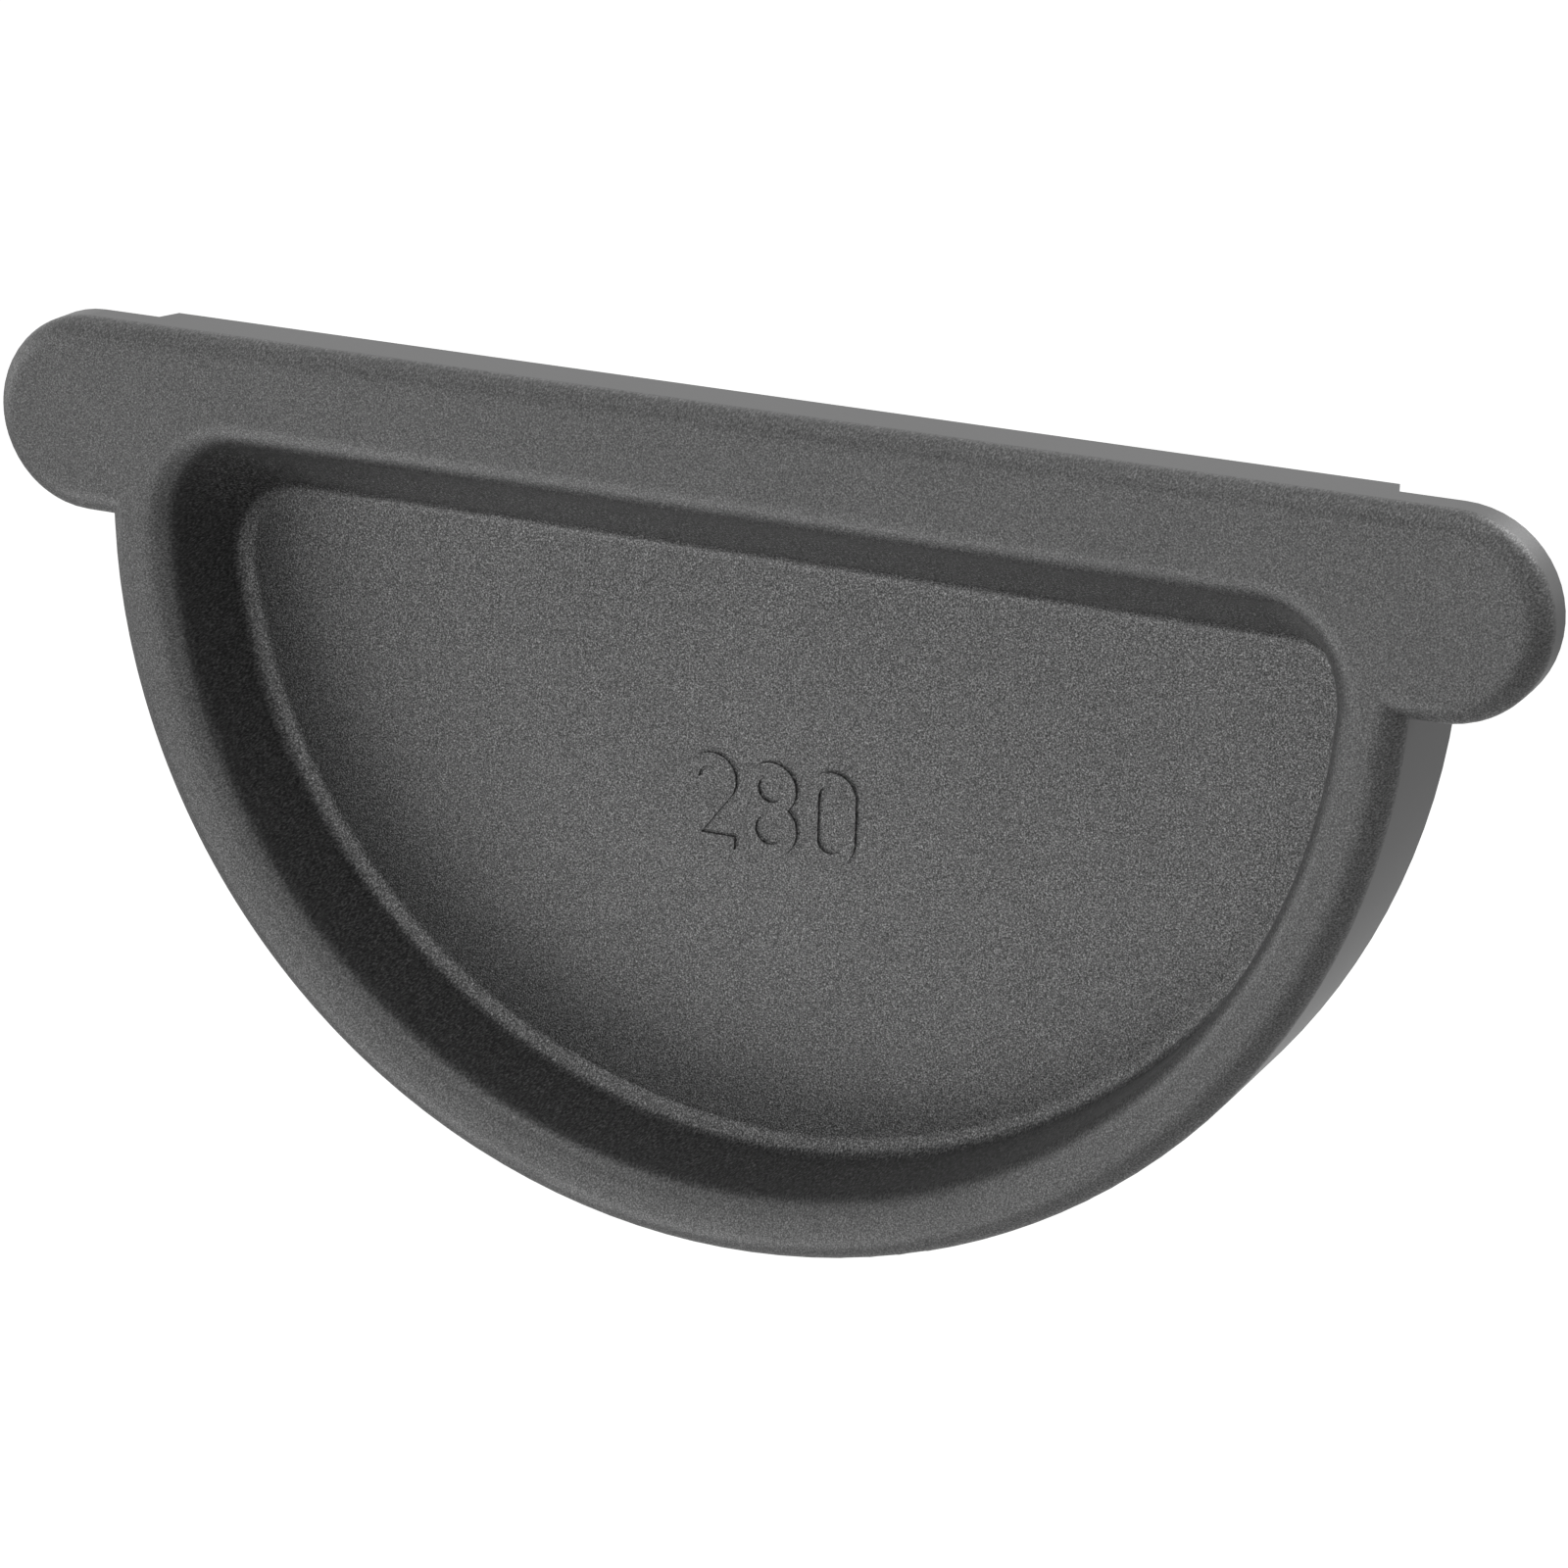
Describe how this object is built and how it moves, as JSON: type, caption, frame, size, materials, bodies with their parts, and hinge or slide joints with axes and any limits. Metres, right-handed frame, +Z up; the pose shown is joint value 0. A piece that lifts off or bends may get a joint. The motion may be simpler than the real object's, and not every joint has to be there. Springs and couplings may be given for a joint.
{
  "type": "half-round gutter end cap",
  "caption": "End cap for a half-round gutter: a pressed sheet with a recessed dish, round bead ears, a top flange and a collar that goes over the gutter's end.",
  "frame": {"origin": "on the axis of the half-round collar, in the plane of the flat outer face", "axes": "-Y out of the outer face, +Y towards the gutter, +Z up to the gutter's open top, X across it"},
  "size_m": [0.1546, 0.0165, 0.0817],
  "materials": {
    "coated_steel": "matte"
  },
  "bodies": {
    "root": {"end_cap": "coated_steel"}
  },
  "joints": []
}
